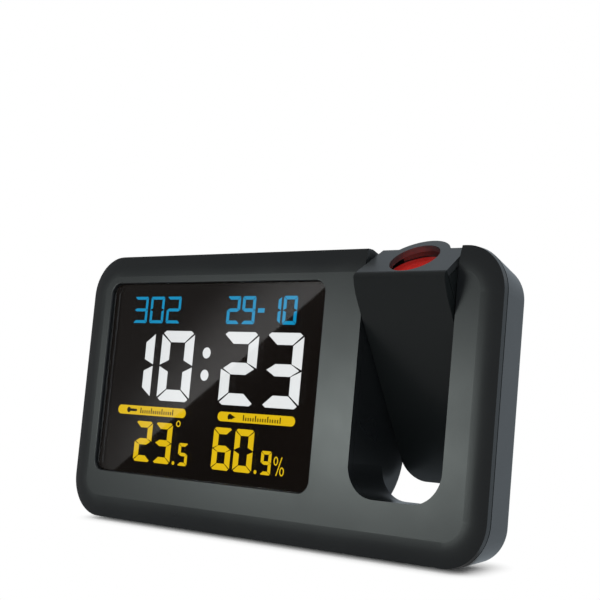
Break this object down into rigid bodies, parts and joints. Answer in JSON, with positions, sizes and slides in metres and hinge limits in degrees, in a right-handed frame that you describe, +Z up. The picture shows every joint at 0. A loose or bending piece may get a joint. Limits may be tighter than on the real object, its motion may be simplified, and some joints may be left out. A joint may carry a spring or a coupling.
{
  "type": "projection alarm clock",
  "caption": "Slim desk alarm clock with a wide display, a rear battery heel and a projector arm that swings in a slot at its right end.",
  "frame": {"origin": "centre of the front foot's underside, on the table", "axes": "+X to the right as seen from the front, +Y to the back, +Z up"},
  "size_m": [0.156, 0.0385, 0.0844],
  "materials": {
    "charcoal_shell": "satin, fine grain",
    "arm_shell": "satin, fine grain",
    "arm_plate": "satin",
    "window": "gloss, tinted",
    "lcd": "gloss, negative display",
    "white_plastic": "matte",
    "clear_plastic": "clear",
    "elastomer": "matte",
    "board": "satin solder mask",
    "chip_epoxy": "gloss blob",
    "can_metal": "satin",
    "switch_metal": "satin",
    "steel": "brushed",
    "contact_metal": "bright nickel",
    "cell_jacket": "satin, plain",
    "foot_rubber": "matte",
    "button_grey": "satin",
    "acetal": "satin",
    "speaker_black": "matte",
    "wire": "satin",
    "led": "gloss",
    "slide_glass": "polarised glass",
    "optic_black": "matte"
  },
  "bodies": {
    "body": {"front_shell": "charcoal_shell", "rear_shell": "charcoal_shell", "front_foot": "foot_rubber", "rear_feet": "foot_rubber", "display_window": "window", "lcd_panel": "lcd", "reflector_tray": "white_plastic", "light_guide": "clear_plastic", "zebra_strip": "elastomer", "main_pcb": "board", "tact_switches": "switch_metal", "snooze_switch": "switch_metal", "clock_chip": "chip_epoxy", "pcb_parts": "can_metal", "usb_inlet": "steel", "speaker": "speaker_black", "aaa_cells": "cell_jacket", "battery_plates": "contact_metal", "battery_springs": "contact_metal", "pivot_bush": "acetal", "pivot_pin": "acetal", "case_screws": "steel", "pcb_screws": "steel", "body_lead": "wire"},
    "arm": {"arm_cover": "arm_shell", "arm_housing": "arm_shell", "arm_cap": "arm_plate", "arm_screws": "steel", "friction_washers": "acetal", "lens_barrel": "optic_black", "slide_lcd": "slide_glass", "lamp_tube": "optic_black", "condenser_lens": "clear_plastic", "led_board": "board", "projector_led": "led", "arm_lead": "wire"},
    "focus": {"lens_cell": "optic_black", "projection_lens": "clear_plastic"},
    "battery_door": {"battery_door": "charcoal_shell"},
    "snooze_key": {"snooze_key": "button_grey"},
    "rear_button_1": {"rear_button_1": "button_grey"},
    "rear_button_2": {"rear_button_2": "button_grey"},
    "rear_button_3": {"rear_button_3": "button_grey"},
    "rear_button_4": {"rear_button_4": "button_grey"},
    "rear_button_5": {"rear_button_5": "button_grey"},
    "rear_button_6": {"rear_button_6": "button_grey"}
  },
  "joints": [
    {"name": "arm_swing", "type": "hinge", "parent": "body", "child": "arm", "pos_m": [0.049, 0.0065, 0.0646], "axis": [1, 0, 0], "range_deg": [-122, 58]},
    {"name": "focus_turn", "type": "hinge", "parent": "arm", "child": "focus", "pos_m": [0.049, 0.00538, 0.0733], "axis": [0, -0.4051, 0.9143], "range_deg": [-60, 60]},
    {"name": "battery_door_lift", "type": "slide", "parent": "body", "child": "battery_door", "axis": [0, 0.99, -0.1409], "range_m": [0, 0.03]},
    {"name": "snooze_press", "type": "slide", "parent": "body", "child": "snooze_key", "axis": [0, -0.1409, -0.99], "range_m": [0, 0.0005], "stiffness_N_per_m": 1500, "springref_m": -0.0002},
    {"name": "rear_button_1_press", "type": "slide", "parent": "body", "child": "rear_button_1", "axis": [0, -0.99, 0.1409], "range_m": [0, 0.0004], "stiffness_N_per_m": 1500, "springref_m": -0.0002},
    {"name": "rear_button_2_press", "type": "slide", "parent": "body", "child": "rear_button_2", "axis": [0, -0.99, 0.1409], "range_m": [0, 0.0004], "stiffness_N_per_m": 1500, "springref_m": -0.0002},
    {"name": "rear_button_3_press", "type": "slide", "parent": "body", "child": "rear_button_3", "axis": [0, -0.99, 0.1409], "range_m": [0, 0.0004], "stiffness_N_per_m": 1500, "springref_m": -0.0002},
    {"name": "rear_button_4_press", "type": "slide", "parent": "body", "child": "rear_button_4", "axis": [0, -0.99, 0.1409], "range_m": [0, 0.0004], "stiffness_N_per_m": 1500, "springref_m": -0.0002},
    {"name": "rear_button_5_press", "type": "slide", "parent": "body", "child": "rear_button_5", "axis": [0, -0.99, 0.1409], "range_m": [0, 0.0004], "stiffness_N_per_m": 1500, "springref_m": -0.0002},
    {"name": "rear_button_6_press", "type": "slide", "parent": "body", "child": "rear_button_6", "axis": [0, -0.99, 0.1409], "range_m": [0, 0.0004], "stiffness_N_per_m": 1500, "springref_m": -0.0002}
  ]
}
